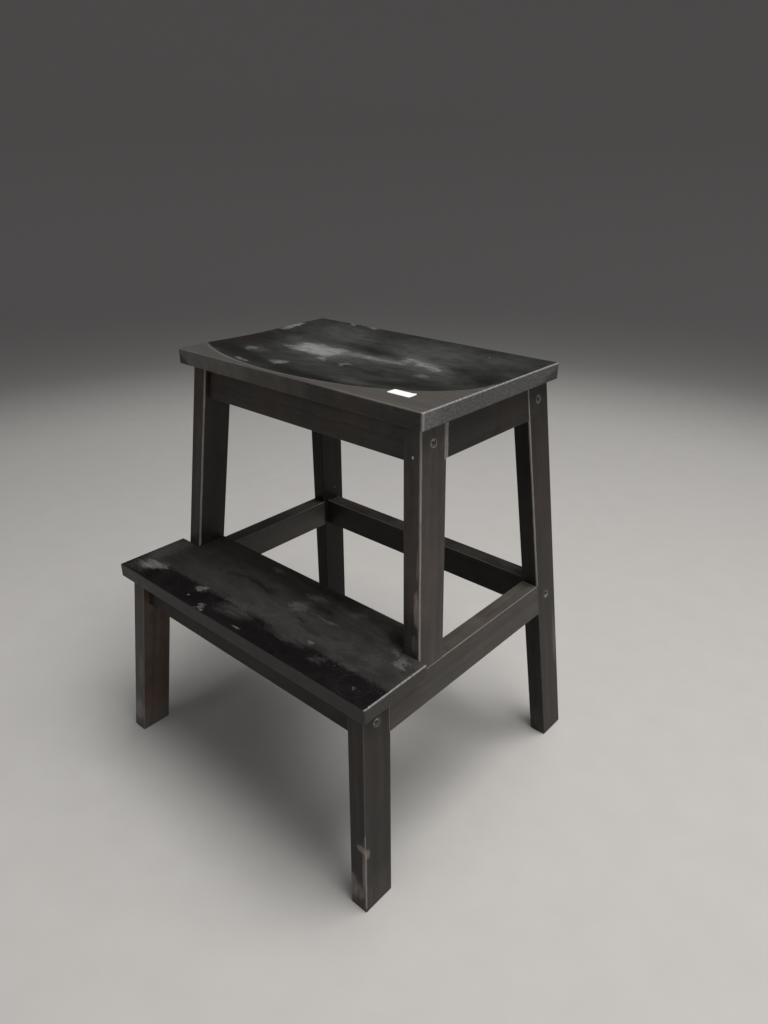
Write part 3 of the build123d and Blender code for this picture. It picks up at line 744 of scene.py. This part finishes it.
LOW_SMUDGES = [
    (-172, -157, 17, 9, 25, 0.45, 0.90), (-166, -150, 5, 4, 0, 0.5, 0.6),
    (-81, -152, 6, 5, 30, 0.5, 0.75), (-81, -170, 2.2, 1.4, -30, 0.4, 1.3),
    (-51, -176, 5, 3.5, 30, 0.5, 0.6), (10, -175, 5, 1.6, 0, 0.5, 0.7),
    (31, -103, 8, 8, 0, 0.6, 0.62), (72, -104, 18, 1.8, 0, 0.6, 0.45),
    (92, -143, 5, 2.6, 0, 0.5, 0.7), (184, -106, 4, 9, 30, 0.6, 0.55),
    (170, -98, 9, 3, -35, 0.6, 0.45), (176, -166, 2.2, 1.8, 0, 0.4, 0.6),
    (94, -74, 8, 5, 0, 0.7, 0.4), (36, -78, 14, 3, 0, 0.7, 0.4), (-44, -66, 8, 3, 0, 0.7, 0.35)]
RING_X, RING_Y, RING_R = 172.0, -163.0, 17.0     # faint ring near the right front corner


def low_marks(wood):
    plan = TreadPlan(wood, LOW_Z1)
    x, y, grit, cloud = plan.x, plan.y, plan.grit, plan.cloud
    mid, fine = wood.mid, wood.fine
    up = wood.up.fade(over=(0.6, 0.95))
    # the whole upper face is dark
    dark = wood.mix(mid.fade(over=(0.3, 0.7)), (0.0105, 0.0092, 0.0088), (0.0200, 0.0182, 0.0170))
    dark = wood.mix(wood.fibre.fade(over=(0.32, 0.70)) * 0.35, dark, (0.030, 0.028, 0.027))
    wood.tint(up * 0.93, dark)
    # a strip along the front nearly black, the rest under a film of dust
    line = y + (grit - 0.5) * 5.0 + (cloud - 0.5) * 7.0
    strip = (line + (fine - 0.5) * 10.0).fade(over=(LOW_Y0 + 39.0, LOW_Y0 + 32.0)) * up
    wood.tint(strip * 0.92, wood.mix(mid.fade(over=(0.35, 0.7)),
                                     (0.0026, 0.0020, 0.0022), (0.0070, 0.0056, 0.0060)))
    film = ((1.0 - strip) * up * cloud.fade(over=(0.34, 0.66), to=(0.15, 1.0))
            * x.fade(over=(-190.0, 10.0), to=(0.30, 1.0))
            * grit.ramp(over=(0.25, 0.75), to=(0.55, 1.3))
            * plan.brush.ramp(over=(0.3, 0.7), to=(0.75, 1.15))
            * fine.ramp(over=(0.3, 0.7), to=(0.65, 1.35)))
    wood.tint(lowest(film * 0.66, 1.0), colour=(0.0750, 0.0700, 0.0640))
    plan.paint(LOW_LIGHT_FIELDS, (0.075, 0.072, 0.068), up)
    # dark pools, and a painted shadow next to the right-hand leg
    plan.paint(LOW_DARK_POOLS_AND_LEG_SHADOW, (0.0080, 0.0072, 0.0074), up, texture=False)
    plan.paint(LOW_SMUDGES, (0.165, 0.160, 0.156), up)
    ring = abs(hypot(x - RING_X, y - RING_Y) - RING_R).fade(over=(1.6, 0.4))
    wood.tint(ring * grit.fade(over=(0.40, 0.65)) * up * 0.10, colour=(0.10, 0.09, 0.09))
    # grit along the edge of the wiped strip and scattered over the film
    edge = abs(line - (LOW_Y0 + 33.0)).fade(over=(12.0, 1.0))
    amount = 0.14 + edge * wood.broad.fade(over=(0.34, 0.52)) * 0.62
    wood.tint(lowest(grit.fade(over=(0.56, 0.70)) * up * amount, 1.0),
              colour=(0.125, 0.12, 0.115))
    plan.specks((14.0, 3.0, 6.0), scale=0.05, chosen=(0.88, 0.90), colour=(0.45, 0.44, 0.43),
                gate=up)
    # right-hand end: rubbed grey, its upper arris rubbed through the stain and given a painted
    # highlight
    end = upright_face(wood, wood.depth[5], over=(3.0, 0.8))
    wood.tint(end * 0.80, wood.mix(fine.fade(over=(0.3, 0.7)),
                                   (0.034, 0.0305, 0.0275), (0.064, 0.059, 0.054)))
    bare_and_lit = plan.bare_and_lit_end(pitch=0.30, jag=4.6, tick=3.4, over=(1.8, 0.8), least=0.35,
                         colours=((0.20, 0.195, 0.19), (0.37, 0.36, 0.35)))
    wood.height += bare_and_lit * -0.10
    # front edge, lighter towards its left
    front_edge = upright_face(wood, wood.depth[2], over=(3.4, 1.4))
    leftward = (-60.0, -190.0)
    wood.tint(front_edge * x.fade(over=leftward, to=(0.80, 0.85)),
              wood.mix(x.fade(over=leftward), (0.036, 0.0340, 0.0315), (0.064, 0.060, 0.056)))
    wood.roughen(up * 0.55, to=0.52)
    wood.roughen(strip * 0.7, to=0.44)
    wood.coat = 0.0
    wood.specular = wood.mix_value(strip, wood.mix_value(up, 0.30, 0.26), 0.12)


def tread_planes(node):
    """Faces of a tread: top, bottom, front, back, left end, right end."""
    (_, y0, z0), (x1, y1, z1) = box_mm(node)
    return [(0, 0, -1, z1), (0, 0, 1, -z0), (0, 1, 0, -y0), (0, -1, 0, y1),
            (1, 0, 0, x1), (-1, 0, 0, x1)]


stain_piece("top_step", tread_planes("top_step"), arrises=[(0, 4, 1.3, 0.55)],
            special=top_marks)
stain_piece("lower_step", tread_planes("lower_step"), special=low_marks)


# ---------------------------------------------------------------- steel, beech and paper
def steel(name, tone, warm, dirt):
    metal = Tree(name)
    point = metal.point
    mottle = metal.noise(point, scale=0.9, detail=4.0, rough=0.7)
    patches = metal.noise(point, scale=0.16)
    lathe = metal.noise(point.stretch((6.0, 0.5, 0.5)), scale=1.0, detail=2.0)
    green, blue = 1 - warm * 0.5, 1 - warm
    bright = metal.mix(mottle, (tone * 0.72, tone * 0.72 * green, tone * 0.70 * blue),
                       (tone, tone * green, tone * 0.98 * blue))
    grime = patches.fade(over=(0.42, 0.68)) * dirt
    return metal.shade(metal.mix(grime, bright, (0.045, 0.04, 0.035)),
                       rough=0.26 + lathe * 0.16 + grime * 0.25,
                       height=mottle * 0.02 + lathe * 0.015,
                       extra={"Metallic": metal.mix_value(grime, 0.95, 0.35)})


def beech(name, axis):
    """Dowel wood, its grain and flutes along the given axis (0 is X, 1 is Y)."""
    def along_axis(lengthwise, crosswise):
        return tuple(lengthwise if i == axis else crosswise for i in range(3))

    seed = next(seeds)
    dowel = Tree(name)
    grain_at = dowel.point.stretch(along_axis(0.05, 1.0)).shift((seed, seed * 2.0, seed * 3.0))
    fibre = dowel.noise(grain_at, scale=0.9, detail=4.0, rough=0.6)
    flute = dowel.noise(dowel.point.stretch(along_axis(0.02, 4.0)), scale=1.0, detail=2.0)
    ray = dowel.noise(grain_at, scale=2.6, detail=2.0).fade(over=(0.6, 0.72))
    colour = dowel.mix(fibre.fade(over=(0.3, 0.7)), (0.50, 0.33, 0.19), (0.66, 0.48, 0.30))
    return dowel.shade(dowel.mix(ray * 0.4, colour, (0.36, 0.21, 0.11)),
                       rough=0.55 + fibre * 0.2, height=fibre * 0.05 + flute * 0.08)


def paper(name):
    sheet = Tree(name)
    point = sheet.point
    mottle = sheet.noise(point, scale=1.6, detail=5.0, rough=0.7)
    fibre = sheet.noise(point.stretch((1.0, 5.0, 1.0)), scale=1.2)
    stain = sheet.noise(point, scale=0.16).fade(over=(0.52, 0.75))
    colour = sheet.mix(mottle, (0.74, 0.74, 0.73), (0.84, 0.84, 0.83))
    return sheet.shade(sheet.mix(stain * 0.25, colour, (0.55, 0.53, 0.48)),
                       rough=0.5 + fibre * 0.2, height=mottle * 0.02 + fibre * 0.03)


bolt_steel = steel("zinc_bolt", tone=0.46, warm=0.04, dirt=0.6)
nut_steel = steel("zinc_nut", tone=0.52, warm=0.02, dirt=0.35)
screw_steel = steel("passivated_screw", tone=0.55, warm=0.28, dirt=0.3)
for name in CROSS_MEMBERS:
    give(name + "_bolts", bolt_steel)
    give(name + "_barrel_nuts", nut_steel)
    give(name + "_dowels", beech("beech_" + name, axis=0))
for side in ("left", "right"):
    give("side_frame_dowels_" + side, beech("beech_side_" + side, axis=1))
for tread in ("top_step", "lower_step"):
    give(tread + "_screws", screw_steel)


# ---------------------------------------------------------------- new meshes, metres
def smooth_object(name, bm):
    mesh = bpy.data.meshes.new(name)
    bm.to_mesh(mesh)
    bm.free()
    for polygon in mesh.polygons:
        polygon.use_smooth = True
    made = bpy.data.objects.new(name, mesh)
    bpy.context.scene.collection.objects.link(made)
    return made


def make_label():
    """A thin sheet with rounded corners, its right back corner lifting a little."""
    columns, rows = 56, 26
    corner_r, thickness = 0.0016, 0.00012
    low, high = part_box("blank_label")
    width, depth = high.x - low.x, high.y - low.y
    bm = bmesh.new()
    grid = {}
    for i in range(columns + 1):
        for j in range(rows + 1):
            x, y = (i / columns - 0.5) * width, (j / rows - 0.5) * depth
            past_x = abs(x) - (width / 2 - corner_r)
            past_y = abs(y) - (depth / 2 - corner_r)
            if past_x > 0 and past_y > 0:
                pull = max(past_x, past_y) / math.hypot(past_x, past_y)
                x = math.copysign(width / 2 - corner_r + past_x * pull, x)
                y = math.copysign(depth / 2 - corner_r + past_y * pull, y)
            lift = max(0.0, (x / width + 0.5) * 0.9 + (y / depth + 0.5) * 0.6 - 1.22)
            ripple = 0.00004 * noise.noise(Vector((x * 300, y * 300, 1.0)))
            z = low.z + thickness + 0.0096 * lift ** 2 + ripple
            grid[i, j] = bm.verts.new(((low.x + high.x) / 2 + x, (low.y + high.y) / 2 + y, z))
    for i in range(columns):
        for j in range(rows):
            bm.faces.new((grid[i, j], grid[i + 1, j], grid[i + 1, j + 1], grid[i, j + 1]))
    label = smooth_object("label_sheet", bm)
    solid = label.modifiers.new("thickness", "SOLIDIFY")
    solid.thickness = thickness
    solid.offset = -1.0
    label.data.materials.append(paper("label_paper"))
    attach(label, "root")
    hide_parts("blank_label")


def studio_paper():
    """Pale floor running into a greyer wall, which the dark wood reflects."""
    sheet = Tree("studio_paper")
    cloud = sheet.noise(sheet.point, scale=0.02, detail=4.0, rough=0.6)
    x, y, _ = sheet.point.parts()
    radius = hypot(x, y)
    floor = sheet.mix(cloud, (0.50, 0.488, 0.472), (0.55, 0.538, 0.522))
    colour = sheet.mix(radius.fade(over=(1300.0, 2500.0)), floor, (0.150, 0.146, 0.146))
    return sheet.shade(colour, rough=0.85, extra={"Specular IOR Level": 0.2})


def make_stage():
    """Round floor sweeping up into a wall."""
    floor_r, sweep_r = 2.0, 0.8
    floor_steps, sweep_steps, wall_steps, wall_pitch = 8, 16, 6, 0.3
    around = 96
    # radius, z
    profile = [(floor_r / floor_steps * i, 0.0) for i in range(1, floor_steps + 1)]
    for i in range(1, sweep_steps + 1):
        angle = math.pi / 2 * i / sweep_steps
        profile.append((floor_r + sweep_r * math.sin(angle), sweep_r - sweep_r * math.cos(angle)))
    profile += [(floor_r + sweep_r, sweep_r + wall_pitch * i) for i in range(1, wall_steps + 1)]
    bm = bmesh.new()
    centre = bm.verts.new((0, 0, 0.0))
    turns = [2 * math.pi * k / around for k in range(around)]
    rings = [[bm.verts.new((radius * math.cos(turn), radius * math.sin(turn), z))
              for turn in turns] for radius, z in profile]
    for k in range(around):
        bm.faces.new((centre, rings[0][k], rings[0][(k + 1) % around]))
    for inner, outer in zip(rings, rings[1:]):
        for k in range(around):
            after = (k + 1) % around
            bm.faces.new((inner[k], outer[k], outer[after], inner[after]))
    stage = smooth_object("studio_sweep", bm)
    stage.data.materials.append(studio_paper())


make_label()
make_stage()


# ---------------------------------------------------------------- lights, world and camera
def area_light(name, location, target, size, power, colour):
    light = bpy.data.lights.new(name, "AREA")
    light.shape = "RECTANGLE"
    light.size, light.size_y = size
    light.energy = power
    light.color = colour
    lamp = bpy.data.objects.new(name, light)
    lamp.location = location
    lamp.rotation_mode = "QUATERNION"
    aim = Vector(target) - Vector(location)
    lamp.rotation_quaternion = aim.to_track_quat("-Z", "Y")
    bpy.context.scene.collection.objects.link(lamp)


area_light("key_overhead", location=(0.55, 0.30, 2.5), target=(0, 0, 0.25), size=(1.5, 1.5),
           power=62, colour=(1.0, 0.985, 0.965))
area_light("fill_right", location=(2.0, -0.5, 1.1), target=(0, 0, 0.30), size=(1.2, 1.2),
           power=9, colour=(1.0, 0.98, 0.96))
area_light("fill_front", location=(-0.4, -1.9, 1.3), target=(0, 0, 0.2), size=(1.2, 1.0),
           power=2.5, colour=(0.98, 0.985, 1.0))

world = bpy.data.worlds.new("studio_air")
world.use_nodes = True
background = world.node_tree.nodes["Background"]
background.inputs["Color"].default_value = (0.93, 0.95, 1.0, 1.0)
background.inputs["Strength"].default_value = 0.12
scene = bpy.context.scene
scene.world = world

camera_data = bpy.data.cameras.new("camera")
camera_data.sensor_fit = "AUTO"
camera_data.sensor_width = 36.0
camera_data.lens = 26.375977
camera_data.clip_start, camera_data.clip_end = 0.02, 60.0
camera = bpy.data.objects.new("camera", camera_data)
CAMERA_AT = (0.5709, -0.5702, 0.70403)
CAMERA_RIGHT = Vector((0.748516, 0.663116, 0.000378))
CAMERA_UP = Vector((-0.28664, 0.323042, 0.901932))
CAMERA_AHEAD = Vector((-0.597964, 0.675219, -0.431878))
turn = Matrix((CAMERA_RIGHT, CAMERA_UP, -CAMERA_AHEAD)).transposed()
camera.matrix_world = Matrix.Translation(CAMERA_AT) @ turn.to_4x4()
scene.collection.objects.link(camera)
scene.camera = camera
scene.view_settings.view_transform = "Standard"
scene.view_settings.look = "None"
